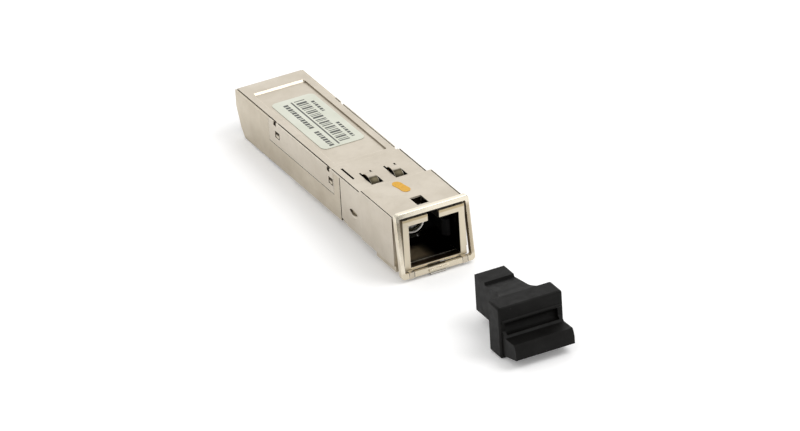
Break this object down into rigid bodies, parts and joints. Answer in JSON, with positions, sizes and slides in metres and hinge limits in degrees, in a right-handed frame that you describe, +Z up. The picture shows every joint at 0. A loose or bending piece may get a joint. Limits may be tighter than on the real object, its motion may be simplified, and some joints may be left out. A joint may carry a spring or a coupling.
{
  "type": "optical transceiver module",
  "caption": "Pluggable metal optical transceiver with a square fibre port, hinged bail ring and latch rocker, and a black rubber dust plug lying in front of the port.",
  "frame": {"origin": "centre of the fibre port at its mouth plane, on the optical axis", "axes": "+Y runs into the module towards the host connector end, +Z is up, +X is to the right of someone who looks into the port"},
  "size_m": [0.0142, 0.1003, 0.0125],
  "materials": {
    "die_cast_nickel": "satin nickel plate on a zinc casting",
    "sheet_nickel": "satin nickel plate on folded sheet",
    "bright_nickel": "bright nickel plate",
    "black_plastic": "moulded, fine texture",
    "stainless_tube": "turned and polished",
    "zirconia": "ground white ceramic",
    "optic_steel": "machined",
    "filter_glass": "coated glass",
    "can_gold": "gold plate",
    "flex_amber": "amber polyimide film",
    "board_green": "solder mask over glass laminate",
    "contact_gold": "hard gold plate",
    "chip_black": "moulded package",
    "chip_ceramic": "ceramic chip body with tinned ends",
    "ferrite": "ground ferrite",
    "pad_grey": "soft filled silicone",
    "latch_steel": "stamped stainless",
    "spring_steel": "hardened strip",
    "label_film": "matt printed film",
    "mark_yellow": "pad-printed ink",
    "plug_rubber": "moulded black rubber"
  },
  "bodies": {
    "module": {"receptacle_block": "die_cast_nickel", "base_tray": "die_cast_nickel", "rear_cover": "sheet_nickel", "front_shell": "sheet_nickel", "port_latch_insert": "black_plastic", "ferrule_barrel": "stainless_tube", "split_sleeve": "zirconia", "focus_lens": "filter_glass", "optic_body": "optic_steel", "wave_filter": "filter_glass", "laser_can": "can_gold", "photodiode_can": "can_gold", "optic_retainer": "black_plastic", "laser_flex": "flex_amber", "photodiode_flex": "flex_amber", "circuit_board": "board_green", "edge_contacts": "contact_gold", "driver_chip": "chip_black", "amplifier_chip": "chip_black", "controller_chip": "chip_black", "chip_capacitors": "chip_ceramic", "filter_inductors": "ferrite", "thermal_pad": "pad_grey", "rocker_pin": "latch_steel", "latch_spring": "spring_steel", "cover_label": "label_film", "colour_mark": "mark_yellow"},
    "bail": {"bail_ring": "bright_nickel"},
    "rocker": {"latch_rocker": "latch_steel"},
    "plug": {"dust_plug": "plug_rubber"}
  },
  "joints": [
    {"name": "bail_hinge", "type": "hinge", "parent": "module", "child": "bail", "pos_m": [0, -0.0003, -0.005], "axis": [1, 0, 0], "range_deg": [0, 102]},
    {"name": "rocker_hinge", "type": "hinge", "parent": "module", "child": "rocker", "pos_m": [0, 0.007, -0.00465], "axis": [1, 0, 0], "range_deg": [0, 3.51], "deforming": ["latch_spring"]},
    {"name": "plug_slide", "type": "slide", "parent": "module", "child": "plug", "axis": [0, 1, 0], "range_m": [0, 0.0285]}
  ],
  "couplings": [
    {"joint": "rocker_hinge", "follows": "bail_hinge", "ratio": 0.034444}
  ]
}
